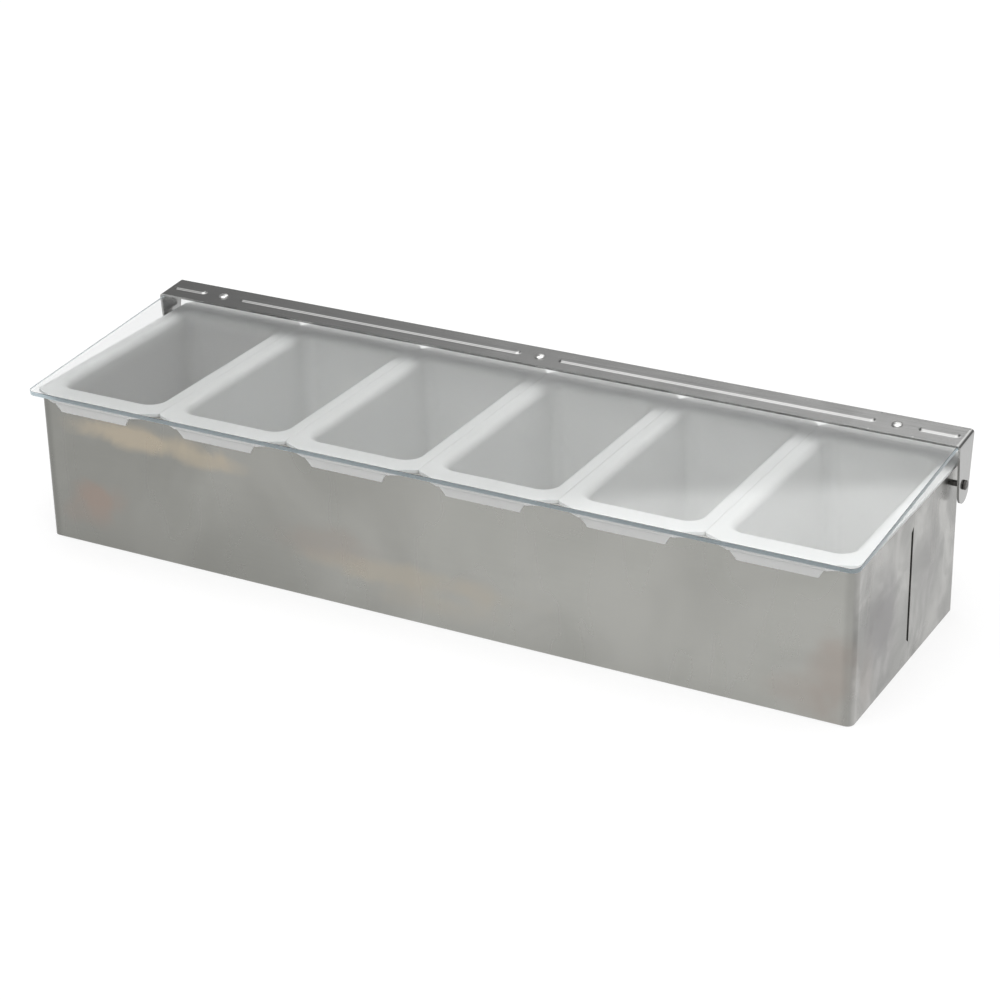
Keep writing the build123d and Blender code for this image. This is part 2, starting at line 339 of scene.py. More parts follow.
boxFinish = {
    "colour": (0.262, 0.262, 0.245),
    # the paler steel, reached towards +x by painted light and here and there by the clouds
    "paler": (0.40, 0.40, 0.377),
    # painted shade: the darker steel of the end walls
    "endShade": (0.25, 0.25, 0.24),
    "endCloud": (0.44, 0.435, 0.42),
    "straw": (0.44, 0.385, 0.30),
    "blush": (0.31, 0.245, 0.21),
    # a dark grey used only for painted shade on the end wall
    "haze": (0.20, 0.195, 0.195),
    "bendShade": (0.11, 0.11, 0.105),
    "roughness": 0.24,
    # centre (mm), reach (mm), tint, strength: heat and handling stains on the folded box, and patches of painted
    # shade on the right end wall
    "stainsAndShade": [
        ((-176, -70.5, 72), (50, 20, 8), "straw", 0.80),
        ((-132, -70.5, 67), (24, 20, 7), "straw", 0.60),
        ((-206, -70.5, 29), (20, 20, 14), "blush", 0.72),
        ((-214, -70.5, 18), (22, 20, 9), "blush", 0.30),
        ((-10, -70.5, 25), (70, 20, 9), "straw", 0.38),
        ((-60, -70.5, 34), (40, 20, 12), "blush", 0.22),
        ((10, -70.5, 14), (42, 20, 10), "straw", 0.20),
        ((232, -70.5, 26), (14, 20, 26), "blush", 0.38),
        ((214, -70.5, 12), (26, 20, 12), "blush", 0.25),
        ((242, -52, 20), (20, 14, 24), "blush", 0.22),
        # painted shade: darker patches on the right end wall, strongest in front of the slot
        ((242, 30, 44), (20, 18, 26), "haze", 0.30),
        ((242, -34, 40), (8, 24, 40), "haze", 0.85),
        ((242, -50, 60), (6, 20, 30), "bendShade", 0.25),
        ((120, 70.5, 50), (70, 20, 20), "straw", 0.25),
        ((-150, 70.5, 30), (60, 20, 20), "blush", 0.22),
    ],
    # painted shade: a darker line down the bend of each front corner, with an even edge
    "shadedBends": [
        ((239.5, -71, 43), (4.4, 3.6, 150), "bendShade", 0.22),
        ((-239.5, -71, 43), (4.4, 3.6, 150), "bendShade", 0.3),
    ],
    "ragged": 0.5,
    "even": 0.12,
    # painted light along the length, paler towards +x where more light falls: from x, to x, its two values, and how
    # far the clouds shift it
    "paintedLightRun": (-0.26, 0.12), "tone": (0.05, 0.68), "toneCloud": 0.35, "cloudSize": 13.0,
    # the end walls start between these distances from the middle; painted shade makes them darker all over
    "endStart": (0.2395, 0.2415), "endShadeShare": 0.9, "endCloudSize": 40.0, "endCloudShare": 0.85,
    "grainStretch": (0.012, 0.02, 1), "grainSizes": (320.0, 900.0),
    "lineDepth": 0.06, "lineRoughness": 0.03, "streakRoughness": 0.10,
    # gentle waves of the sheet and the height of its grain
    "waveNoise": (9, 2, 0.4), "waveHeight": 0.8, "lineHeight": 0.001, "bumpStrength": 0.25, "bumpDistance": 0.004,
}


def makeBoxMetal():
    material, tree, shader = newMaterial("boxMetal")
    place = objectPlace(tree)
    lines = placeGrain(tree, place, boxFinish)
    patches, streaks = placeCloud(tree, place, boxFinish["cloudSize"])
    alongX = splitPlace(tree, place)["X"]
    # painted light: the steel is made paler towards +x, where more light falls, and the clouds shift that a little
    tone = rangeNode(tree, alongX, *boxFinish["paintedLightRun"], *boxFinish["tone"])
    tone = addShare(tree, tone, mathNode(tree, "SUBTRACT", patches, 0.5), boxFinish["toneCloud"], True)
    colour = mixColour(tree, tone, boxFinish["colour"], boxFinish["paler"])
    endWall = rangeNode(tree, mathNode(tree, "ABSOLUTE", alongX), *boxFinish["endStart"], 0, 1)
    endPatches = placeCloud(tree, place, boxFinish["endCloudSize"])[0]
    # painted shade: the end walls darkened all over
    colour = mixColour(tree, mathNode(tree, "MULTIPLY", endWall, boxFinish["endShadeShare"]), colour, boxFinish["endShade"])
    endTone = mathNode(tree, "MULTIPLY", mathNode(tree, "MULTIPLY", endPatches, endWall), boxFinish["endCloudShare"])
    colour = mixColour(tree, endTone, colour, boxFinish["endCloud"])
    marks = [(stain, boxFinish["ragged"]) for stain in boxFinish["stainsAndShade"]]
    marks += [(bend, boxFinish["even"]) for bend in boxFinish["shadedBends"]]
    for (centre, reach, tint, strength), ragged in marks:
        node = placeGroup(tree, spotGroup, {
            "Place": place,
            "Centre": tuple(v * mm for v in centre),
            "Reach": tuple(v * mm for v in reach),
            "Ragged": ragged,
        })
        colour = mixColour(tree, mathNode(tree, "MULTIPLY", node.outputs["Mask"], strength), colour, boxFinish[tint])
    shadeByLines(tree, shader, colour, lines, boxFinish["lineDepth"])
    rough = addShare(tree, boxFinish["roughness"], streaks, boxFinish["streakRoughness"])
    tree.links.new(addShare(tree, rough, lines, boxFinish["lineRoughness"]), shader.inputs["Roughness"])
    shader.inputs["Metallic"].default_value = 1.0
    waves = mathNode(tree, "MULTIPLY", noiseNode(tree, place, *boxFinish["waveNoise"]), boxFinish["waveHeight"])
    height = addShare(tree, waves, lines, boxFinish["lineHeight"])
    bumpNode(tree, height, boxFinish["bumpStrength"], boxFinish["bumpDistance"], shader)
    return material


barFinish = {
    "colour": (0.35, 0.35, 0.345), "paler": (0.41, 0.41, 0.405), "palerShare": 0.5, "cloudSize": 22.0,
    "grainStretch": (0.02, 1, 0.3), "grainSizes": (900.0, 2600.0), "lineDepth": 0.2,
    "roughness": 0.11, "lineRoughness": 0.12, "streakRoughness": 0.04, "bumpStrength": 0.06, "bumpDistance": 0.0002,
}


def makeBarMetal():
    material, tree, shader = newMaterial("barMetal")
    place = objectPlace(tree)
    lines = placeGrain(tree, place, barFinish)
    patches, streaks = placeCloud(tree, place, barFinish["cloudSize"])
    tone = mathNode(tree, "MULTIPLY", patches, barFinish["palerShare"])
    colour = mixColour(tree, tone, barFinish["colour"], barFinish["paler"])
    shadeByLines(tree, shader, colour, lines, barFinish["lineDepth"])
    rough = addShare(tree, barFinish["roughness"], lines, barFinish["lineRoughness"])
    tree.links.new(addShare(tree, rough, streaks, barFinish["streakRoughness"]), shader.inputs["Roughness"])
    shader.inputs["Metallic"].default_value = 1.0
    bumpNode(tree, lines, barFinish["bumpStrength"], barFinish["bumpDistance"], shader)
    return material


# colour and roughness of the small parts, and the fine mottle that they share
smallFinish = {
    "rivetMetal": ((0.74, 0.74, 0.73), 0.16),
    "pinMetal": ((0.13, 0.125, 0.12), 0.38),
    # painted shade: the seam straps are near black, so that the slots in front of them read dark
    "strapShadeMetal": ((0.10, 0.10, 0.095), 0.45),
    "mottleSize": 420.0, "mottleShade": 0.72, "mottleRoughness": 0.15,
    "pitNoise": (900, 3), "bumpStrength": 0.2, "bumpDistance": 0.0001,
}


def makeSmallMetal(name):
    material, tree, shader = newMaterial(name)
    colour, roughness = smallFinish[name]
    place = objectPlace(tree)
    patches = placeCloud(tree, place, smallFinish["mottleSize"])[0]
    darker = tuple(v * smallFinish["mottleShade"] for v in colour)
    tree.links.new(mixColour(tree, patches, colour, darker), shader.inputs["Base Color"])
    tree.links.new(addShare(tree, roughness, patches, smallFinish["mottleRoughness"]), shader.inputs["Roughness"])
    shader.inputs["Metallic"].default_value = 1.0
    pits = noiseNode(tree, place, *smallFinish["pitNoise"])
    bumpNode(tree, pits, smallFinish["bumpStrength"], smallFinish["bumpDistance"], shader)
    return material


panFinish = {
    "colour": (0.89, 0.895, 0.885), "aged": (0.85, 0.855, 0.84), "agedShare": 0.4, "cloudSize": 30.0,
    # painted shade over the first pan's well: tint, and where that fades in x, in z and in y
    "firstWellShade": (0.75, 0.75, 0.74), "firstShadeX": (-0.172, -0.164), "firstShadeZ": (0.076, 0.087), "firstShadeY": (-0.072, -0.068),
    "scuff": (0.62, 0.62, 0.61), "scuffStretch": (1, 0.25, 1), "scuffNoise": (160, 5, 0.7),
    "scuffRange": (0.62, 0.78), "scuffShare": 0.12, "scuffRoughness": 0.2,
    "roughness": 0.46, "streakRoughness": 0.06, "ior": 1.49, "subsurface": 0.12, "subsurfaceReach": 0.004,
    "grainNoise": (1400, 3), "bumpStrength": 0.12, "bumpDistance": 0.0001,
}


def makePanPlastic():
    material, tree, shader = newMaterial("panPlastic")
    place = objectPlace(tree)
    patches, streaks = placeCloud(tree, place, panFinish["cloudSize"])
    agedTone = mathNode(tree, "MULTIPLY", patches, panFinish["agedShare"])
    colour = mixColour(tree, agedTone, panFinish["colour"], panFinish["aged"])
    axes = splitPlace(tree, place)
    # painted shade over the first pan's well
    firstShadeMask = rangeNode(tree, axes["X"], *panFinish["firstShadeX"], 1, 0)
    firstShadeMask = mathNode(tree, "MULTIPLY", firstShadeMask, rangeNode(tree, axes["Z"], *panFinish["firstShadeZ"], 1, 0))
    firstShadeMask = mathNode(tree, "MULTIPLY", firstShadeMask, rangeNode(tree, axes["Y"], *panFinish["firstShadeY"], 0, 1))
    colour = mixColour(tree, firstShadeMask, colour, panFinish["firstWellShade"])
    scuff = noiseNode(tree, stretchedPlace(tree, place, panFinish["scuffStretch"]), *panFinish["scuffNoise"])
    scuffMask = rangeNode(tree, scuff, *panFinish["scuffRange"], 0, 1)
    scuffTone = mathNode(tree, "MULTIPLY", scuffMask, panFinish["scuffShare"])
    tree.links.new(mixColour(tree, scuffTone, colour, panFinish["scuff"]), shader.inputs["Base Color"])
    rough = addShare(tree, panFinish["roughness"], scuffMask, panFinish["scuffRoughness"])
    tree.links.new(addShare(tree, rough, streaks, panFinish["streakRoughness"]), shader.inputs["Roughness"])
    shader.inputs["IOR"].default_value = panFinish["ior"]
    shader.inputs["Subsurface Weight"].default_value = panFinish["subsurface"]
    shader.inputs["Subsurface Radius"].default_value = (panFinish["subsurfaceReach"],) * 3
    shader.inputs["Subsurface Scale"].default_value = 1.0
    fineGrain = noiseNode(tree, place, *panFinish["grainNoise"])
    bumpNode(tree, fineGrain, panFinish["bumpStrength"], panFinish["bumpDistance"], shader)
    return material


lidFinish = {
    # the plate's edges also get a painted glow
    "colour": (0.985, 0.992, 0.992), "edge": (0.86, 0.91, 0.93), "paintedEdgeGlow": (0.20, 0.235, 0.25),
    # the edge starts where the surface's upward share falls between these
    "edgeRange": (0.35, 0.85), "edgeRoughness": 0.35, "roughness": 0.01, "ior": 1.45,
    "wipeNoise": (24, 4, 0.6), "wipeRange": (0.45, 0.75), "wipeRoughness": 0.035,
}


def makeLidPlastic():
    material, tree, shader = newMaterial("lidPlastic")
    coordinates = tree.nodes.new("ShaderNodeTexCoord")
    upright = mathNode(tree, "ABSOLUTE", splitPlace(tree, coordinates.outputs["Normal"])["Z"])
    edgeMask = rangeNode(tree, upright, *lidFinish["edgeRange"], 1, 0)
    haze = noiseNode(tree, coordinates.outputs["Object"], *lidFinish["wipeNoise"])
    wiped = rangeNode(tree, haze, *lidFinish["wipeRange"], 0, lidFinish["wipeRoughness"])
    tree.links.new(mixColour(tree, edgeMask, lidFinish["colour"], lidFinish["edge"]), shader.inputs["Base Color"])
    rough = mathNode(tree, "ADD", wiped, lidFinish["roughness"])
    tree.links.new(addShare(tree, rough, edgeMask, lidFinish["edgeRoughness"]), shader.inputs["Roughness"])
    # painted glow: the plate's edges give off a faint pale light of their own
    paintedEdgeGlow = mixColour(tree, edgeMask, (0.0, 0.0, 0.0), lidFinish["paintedEdgeGlow"])
    tree.links.new(paintedEdgeGlow, shader.inputs["Emission Color"])
    shader.inputs["Emission Strength"].default_value = 1.0
    shader.inputs["Transmission Weight"].default_value = 1.0
    shader.inputs["IOR"].default_value = lidFinish["ior"]
    return material


boxMetal = makeBoxMetal()
barMetal = makeBarMetal()
rivetMetal, pinMetal, strapShadeMetal = [makeSmallMetal(name) for name in ("rivetMetal", "pinMetal", "strapShadeMetal")]
panPlastic = makePanPlastic()
lidPlastic = makeLidPlastic()
print("materials made")

# Folded box: two bent sheets that meet in the end seams
box = {
    "length": 484.0, "depth": 142.0, "height": 86.0, "sheet": 0.8, "edge": 0.15, "bend": 4.0,
    "seamY": 4.5, "slot": 3.0, "slotLow": 11.5, "slotHigh": 77.0, "slotTaper": 2.5, "cornerSteps": 14,
}


def bentSheet(side):
    # The outer skin of one sheet. u runs along the bent line flap, corner arc, wall, corner arc, flap; v is height.
    # The flap ends stand back by trim(v), which is the slot's width between its two tapers.
    halfX, halfY, bend = box["length"] / 2, box["depth"] / 2, box["bend"]
    low, high, taper = box["slotLow"], box["slotHigh"], box["slotTaper"]
    height = np.concatenate([
        np.linspace(0, low, 5), np.linspace(low + taper, high - taper, 14), np.linspace(high, box["height"], 4)])
    opening = np.interp(height, [low, low + taper, high - taper, high], [0, 1, 1, 0])
    trim = box["slot"] * opening if side < 0 else 0 * height
    arc = np.linspace(0, np.pi / 2, box["cornerSteps"] + 1)
    run = np.linspace(0, 1, 12)[1:-1]
    flapEnd = box["seamY"] + side * trim[:, None]
    straightEnd = side * (halfY - bend)
    share = np.linspace(0, 1, 8)[None, :-1]
    flapY = flapEnd + (straightEnd - flapEnd) * share
    flapX = np.full_like(flapY, -halfX)
    cornerX = -halfX + bend - bend * np.cos(arc)
    cornerY = side * (halfY - bend + bend * np.sin(arc))
    wallX = (-halfX + bend) + (2 * halfX - 2 * bend) * run
    wallY = np.full_like(wallX, side * halfY)
    rows = len(height)
    left = np.concatenate([flapX, np.tile(cornerX, (rows, 1))], axis=1)
    leftY = np.concatenate([flapY, np.tile(cornerY, (rows, 1))], axis=1)
    x = np.concatenate([left, np.tile(wallX, (rows, 1)), -left[:, ::-1]], axis=1)
    y = np.concatenate([leftY, np.tile(wallY, (rows, 1)), leftY[:, ::-1]], axis=1)
    z = np.broadcast_to(height[:, None], x.shape)
    grid = np.stack([x, y, z], axis=-1) * mm
    if side > 0:
        grid = grid[:, ::-1]
    return grid, gridFaces(grid.shape[0], grid.shape[1], False)


for name, side in (("front_shell", -1), ("rear_shell", 1)):
    sheetPiece = addPiece("bent_" + name, [bentSheet(side)], boxMetal, "box", [name], 40)
    addWall(sheetPiece, box["sheet"] * mm, box["edge"] * mm)
# the base keeps the box steel; the seam straps take the near-black steel of painted shade
for name, metal in (("base_pan", boxMetal), ("left_seam_strap", strapShadeMetal), ("right_seam_strap", strapShadeMetal)):
    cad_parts[name].data.materials.clear()
    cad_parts[name].data.materials.append(metal)
print("box made")

# Pans: a rim that narrows to its tab, and a tapered well
pan = {
    "count": 6, "pitch": 81.0, "gap": 0.12, "length": 158.0, "centreY": 1.0, "wall": 2.0, "rim": 2.0, "rimEdge": 0.25,
    "frontTaper": 7.0, "rearCut": 7.5, "rimCorner": 2.5, "tabCorner": 0.6, "sideFlange": 9.0, "endFlange": 17.0,
    "mouthCorner": 8.0, "mouthRound": 4.6, "height": 81.7, "draft": 4.0, "floorRound": 7.0, "underside": 86.0,
    "rimUnder": 0.3, "wallHeights": (30, 50, 70),
}
tab = {"width": 52.0, "foot": 44.0, "drop": 7.5, "thickness": 1.6, "lean": 14.0, "corner": 1.2, "edge": 0.25}


def rimRows():
    # From the underside out and round the edge to the top: (inset from the outline, height).
    under, edge, bevel = pan["underside"], pan["rimEdge"], pan["rimUnder"]
    top = under + pan["rim"]
    rows = [(bevel, under), (0.0, under + bevel)]
    for t in np.linspace(0, np.pi / 2, 6):
        rows.append((edge * (1 - math.cos(t)), top - edge + edge * math.sin(t)))
    return np.array(rows)


def rimOutline():
    # The rim seen from above, anticlockwise from its right rear corner: cut rear corners, and front corners that
    # taper to the tab.
    halfX, halfY, cut = (pan["pitch"] - pan["gap"]) / 2, pan["length"] / 2, pan["rearCut"]
    front, tabX = pan["frontTaper"] - halfY, tab["width"] / 2
    right = [(halfX, halfY - cut), (halfX - cut, halfY)]
    left = [(-x, y) for x, y in right[::-1]]
    corners = right + left + [(-halfX, front), (-tabX, -halfY), (tabX, -halfY), (halfX, front)]
    radii = [pan["rimCorner"]] * 5 + [pan["tabCorner"]] * 2 + [pan["rimCorner"]]
    return corners, radii, [7, 7, 7, 7, 9, 5, 5, 9]


def floorRows(radius, outward, floorZ, startZ):
    # The quarter turn from floor to wall, tangent to both, as rows of shrink from the mouth, corner radius, height.
    lean = math.radians(pan["draft"])
    reach = radius * math.tan((np.pi / 2 - lean) / 2)
    shrink = (startZ - floorZ) * math.tan(lean) - outward
    rows = []
    for t in np.linspace(0, np.pi / 2 - lean, 9):
        inset = reach - radius * math.sin(t)
        rows.append((shrink + inset, pan["mouthCorner"] + outward - inset, floorZ + radius * (1 - math.cos(t))))
    return rows


def wellLoops(rows):
    # Rounded rectangles from (shrink from the mouth, corner radius, height) rows.
    rows = np.array(rows)
    halfX = pan["pitch"] / 2 - pan["sideFlange"]
    halfY = pan["length"] / 2 - pan["endFlange"]
    x, y = roundedLoops(halfX - rows[:, 0], halfY - rows[:, 0], rows[:, 1])
    return np.stack([x, y, np.broadcast_to(rows[:, 2][:, None], x.shape)], axis=-1)


def panBody(centreX):
    # Loops along one profile: outer floor, outer wall, rim, rounded mouth, inner wall, inner floor.
    top, wall, corner = pan["underside"] + pan["rim"], pan["wall"], pan["mouthCorner"]
    lean = math.radians(pan["draft"])
    slope = math.tan(lean)
    floorOuter = pan["underside"] - pan["height"]
    outer = floorRows(pan["floorRound"] + wall, wall, floorOuter, pan["underside"])
    outerHeights = [*pan["wallHeights"], pan["underside"]]
    outer += [((pan["underside"] - z) * slope - wall, corner + wall, z) for z in outerHeights]
    rim = rimRows()
    rimX, rimY = outlineLoops(*rimOutline(), rim[:, 0])
    rimLoops = np.stack([rimX, rimY, np.broadcast_to(rim[:, 1][:, None], rimX.shape)], axis=-1)
    mouth, inner = pan["mouthRound"], []
    for t in np.linspace(0, np.pi / 2 - lean, 9):
        outward = mouth * math.tan((np.pi / 2 - lean) / 2) - mouth * math.sin(t)
        inner.append((-outward, corner + outward, top - mouth * (1 - math.cos(t))))
    inner += [((top - z) * slope, corner, z) for z in pan["wallHeights"][::-1]]
    inner += floorRows(pan["floorRound"], 0, floorOuter + wall, top)[::-1]
    loops = np.concatenate([wellLoops(outer), rimLoops, wellLoops(inner)])
    points = (loops + np.array([centreX, pan["centreY"], 0.0])) * mm
    return points, stackFaces(*loops.shape[:2])


def panTab(centreX):
    # A trapezoid in a leaning plane, carried through its thickness; the loops near both faces are drawn in slightly.
    # Down the tab is (0, sin lean, -cos lean), and into its thickness is (0, cos lean, sin lean).
    lean = math.radians(tab["lean"])
    halfTop, halfFoot, drop, corner = tab["width"] / 2, tab["foot"] / 2, tab["drop"], tab["corner"]
    turn = np.linspace(0, np.pi / 2, 6)
    footX = halfFoot - corner + corner * np.cos(turn)
    footV = drop - corner + corner * np.sin(turn)
    u = np.concatenate([[halfTop], footX, -footX[::-1], [-halfTop]])
    v = np.concatenate([[0.0], footV, footV[::-1], [0.0]])
    edge, full = tab["edge"], tab["thickness"]
    steps = np.array([(edge, 0.0), (0.0, edge), (0.0, full - edge), (edge, full)])
    inset, depth = steps[:, 0][:, None], steps[:, 1][:, None]
    uRow = u[None, :] - np.sign(u)[None, :] * inset
    vRow = v[None, :] - np.where(v > 0, 1.0, 0.0)[None, :] * inset
    y = pan["centreY"] - pan["length"] / 2 + vRow * math.sin(lean) + depth * math.cos(lean)
    z = pan["underside"] + pan["rim"] - pan["rimEdge"] - vRow * math.cos(lean) + depth * math.sin(lean)
    points = np.stack([uRow + centreX, y, z], axis=-1) * mm
    return points, stackFaces(*uRow.shape)


for index in range(pan["count"]):
    centreX = pan["pitch"] * (index - (pan["count"] - 1) / 2)
    node = "pan_%d" % (index + 1)
    parts = [panBody(centreX), panTab(centreX)]
    flattenShading(addPiece("moulded_" + node, parts, panPlastic, "box", [node], 50))
print("pans made")

# Lid: one clear plate
lid = {
    "width": 490.0, "thickness": 2.5, "angle": 4.3, "corner": 5.0, "edge": 0.4, "overhang": 1.0, "restGap": 0.15,
    "pivotY": 62.5, "pivotZ": 76.5, "rearReach": 13.3,
}
tilt = math.radians(lid["angle"])
slopeWay = np.array([0.0, math.cos(tilt), math.sin(tilt)])
lidUp = np.array([0.0, -math.sin(tilt), math.cos(tilt)])
acrossWay = np.array([1.0, 0.0, 0.0])
rimFront, rimTop = pan["centreY"] - pan["length"] / 2, pan["underside"] + pan["rim"]
lidFront = np.array([0.0, rimFront, rimTop + lid["restGap"]]) - lid["overhang"] * slopeWay
pivot = np.array([0.0, lid["pivotY"], lid["pivotZ"]])
pivotAlong = float((pivot - lidFront) @ slopeWay)
lidDepth = pivotAlong + lid["rearReach"]


def onLid(across, along, up):
    # A place from lengths across the lid, up its slope, and out of it.
    across, along, up = np.broadcast_arrays(across, along, up)
    return (lidFront + across[..., None] * acrossWay + along[..., None] * slopeWay + up[..., None] * lidUp) * mm


def lidPlate():
    # Rounded rectangles stacked through the thickness; near each face they shrink by edge * (1 - cos t).
    turn = np.linspace(np.pi / 2, 0, 5)
    inset = lid["edge"] * (1 - np.cos(turn))
    rise = lid["edge"] * (1 - np.sin(turn))
    inset = np.concatenate([inset, inset[::-1]])
    height = np.concatenate([rise, lid["thickness"] - rise[::-1]])
    x, y = roundedLoops(lid["width"] / 2 - inset, lidDepth / 2 - inset, lid["corner"] - inset, 16)
    points = onLid(x, y + lidDepth / 2, height[:, None])
    return points, stackFaces(*x.shape)


flattenShading(addPiece("clear_lid", [lidPlate()], lidPlastic, "lid_assembly", ["lid"], 40))
print("lid made")

# Hinge bar: a strip bent down at both ends, narrowing to the pivots, with pressed ribs
bar = {
    "length": 494.4, "width": 21.0, "sheet": 1.2, "bend": 0.8, "seat": 0.05, "armEnd": 7.2, "armDrop": 3.0,
    "ribWidth": 4.6, "ribHeight": 0.9, "ribFlank": 1.3, "ribSpread": 0.15, "ribRivetGap": 12.0, "ribEnd": 4.0,
    "rivetInset": 36.0, "edge": 0.2,
    # where the skin's rows lie closer: round each rib's end (mm), and across the ribs (shares of the width)
    "ribEndRows": 3.2, "ribRows": (0.36, 0.64), "footStart": 0.06, "bendClear": 0.05,
}
rivetX = np.array([-1, 0, 1]) * (lid["width"] / 2 - bar["rivetInset"])
endCentre = pivot - lidFront - np.array([0.0, 0.0, bar["armDrop"]])
endAlong, endUp = float(endCentre @ slopeWay), float(endCentre @ lidUp)


def tangentEdge(cornerAlong, up, sign):
    # The arm's side edge: the straight line from the strip's corner to its tangent point on the round end, then
    # the circle.
    radius = bar["armEnd"]
    cornerUp = lid["thickness"] + bar["seat"]
    dA, dU = cornerAlong - endAlong, cornerUp - endUp
    distance = math.hypot(dA, dU)
    away = math.atan2(dU, dA)
    spread = math.acos(radius / distance)
    angle = away + (spread if sign < 0 else -spread)
    tangentAlong, tangentUp = endAlong + radius * math.cos(angle), endUp + radius * math.sin(angle)
    straight = cornerAlong + (tangentAlong - cornerAlong) * (cornerUp - up) / (cornerUp - tangentUp)
    rounded = endAlong + sign * np.sqrt(np.maximum(radius**2 - (up - endUp) ** 2, 0))
    return np.where(up > cornerUp, cornerAlong, np.where(up > tangentUp, straight, rounded))


def ribRise(across, along):
    # Height of the pressed ribs: a smooth step down with distance from each rib's middle line.
    limit = bar["length"] / 2 - bar["ribEnd"]
    starts = [-limit] + [x + bar["ribRivetGap"] for x in rivetX]
    ends = [x - bar["ribRivetGap"] for x in rivetX] + [limit]
    half = bar["ribWidth"] / 2
    middle = lidDepth - bar["width"] / 2
    rise = np.zeros(np.broadcast(across, along).shape)
    for low, high in zip(starts, ends):
        nearest = np.clip(across, low + half, high - half)
        distance = np.hypot(across - nearest, along - middle)
        t = np.clip((half + bar["ribSpread"] - distance) / bar["ribFlank"], 0, 1)
        rise = np.maximum(rise, bar["ribHeight"] * t * t * (3 - 2 * t))
    return rise


def hingeStrip():
    # The outer skin. u runs up the left arm, round its bend, along the strip and down the right arm;
    # v runs from the front edge to the rear edge, which the arms' outline sets at each height.
    outer = bar["bend"] + bar["sheet"]
    topUp = lid["thickness"] + bar["seat"] + bar["sheet"]
    halfLength = bar["length"] / 2
    footUps = endUp - bar["armEnd"] * np.cos(np.linspace(bar["footStart"], np.pi / 2, 16))
    straightUps = np.linspace(footUps[-1], topUp - outer, 14)[1:]
    armUps = np.concatenate([footUps, straightUps])
    turn = np.linspace(0, np.pi / 2, 9)[1:]
    bendX = -halfLength + outer - outer * np.cos(turn)
    bendUp = topUp - outer + outer * np.sin(turn)
    limit = bar["length"] / 2 - bar["ribEnd"]
    ends = np.array([-limit] + [x + s * bar["ribRivetGap"] for x in rivetX for s in (-1, 1)] + [limit])
    dense = (ends[:, None] + np.linspace(-bar["ribEndRows"], bar["ribEndRows"], 25)[None, :]).ravel()
    sparse = np.linspace(-halfLength + outer, halfLength - outer, 62)
    stripX = np.unique(np.round(np.concatenate([dense, sparse]), 3))
    stripX = stripX[np.abs(stripX) < halfLength - outer - bar["bendClear"]]
    armX = np.full(len(armUps), halfLength)
    x = np.concatenate([-armX, bendX, stripX, -bendX[::-1], armX])
    up = np.concatenate([armUps, bendUp, np.full(len(stripX), topUp), bendUp[::-1], armUps[::-1]])
    front = tangentEdge(lidDepth - bar["width"], up, -1)
    rear = tangentEdge(lidDepth, up, 1)
    first, last = bar["ribRows"]
    v = np.concatenate([np.linspace(0, first, 5)[:-1], np.linspace(first, last, 25), np.linspace(last, 1, 5)[1:]])
    along = front[:, None] + (rear - front)[:, None] * v[None, :]
    across = np.broadcast_to(x[:, None], along.shape)
    lift = np.where(np.abs(across) < halfLength - outer, ribRise(across, along), 0.0)
    points = onLid(across, along, up[:, None] + lift)[:, ::-1]
    return points, gridFaces(*along.shape, False)


barPiece = addPiece("pressed_hinge_bar", [hingeStrip()], barMetal, "lid_assembly", ["hinge_bar"], 50)
addWall(barPiece, bar["sheet"] * mm, bar["edge"] * mm)
print("hinge bar made")

# Rivets, washers and pins
rivet = {
    "head": 3.0, "headHeight": 1.3, "headLip": 0.15, "shank": 1.75, "tail": 2.6, "tailHeight": 0.4,
    "tailBevel": (0.2, 0.15), "washer": 0.5, "washerRadius": 4.0, "washerBevel": (0.15, 0.12),
}


def rivetProfile():
    # From the tail up: flat tail, shank, flat underside of the head, then a dome with r = head * cos t and
    # h = height * sin t above its lip.
    under = -rivet["washer"] - rivet["tailHeight"]
    seatUp = lid["thickness"] + bar["seat"] + bar["sheet"]
    lip = rivet["headLip"]
    dome = [(rivet["head"] * math.cos(t), seatUp + lip + (rivet["headHeight"] - lip) * math.sin(t))
            for t in np.linspace(0, 1.5, 12)]
    inset, rise = rivet["tailBevel"]
    return [(rivet["tail"] - inset, under), (rivet["tail"], under + rise), (rivet["tail"], -rivet["washer"]),
            (rivet["shank"], -rivet["washer"]), (rivet["shank"], seatUp), (rivet["head"], seatUp)] + dome


def washerProfile():
    flat, outer = rivet["washer"], rivet["washerRadius"]
    inset, rise = rivet["washerBevel"]
    return [(outer - inset, -flat), (outer, -flat + rise), (outer, -rise), (outer - inset, 0.0)]


middleAlong = lidDepth - bar["width"] / 2
rivetParts, washerParts = [], []
for x in rivetX:
    seat = onLid(np.array(x), np.array(middleAlong), np.array(0.0)).reshape(3)
    for profile, parts in ((rivetProfile(), rivetParts), (washerProfile(), washerParts)):
        parts.append(turnedPart(np.array(profile) * mm, seat, lidUp, acrossWay))
addPiece("domed_rivets", rivetParts, rivetMetal, "lid_assembly", ["lid_rivets"], 45)
addPiece("flat_washers", washerParts, rivetMetal, "lid_assembly", ["rivet_washers"], 45)

pin = {
    "radius": 1.6, "innerHead": 2.8, "innerHeight": 1.0, "outerHead": 2.6, "outerHeight": 1.1, "round": 0.4,
    "headGap": 0.25,
}


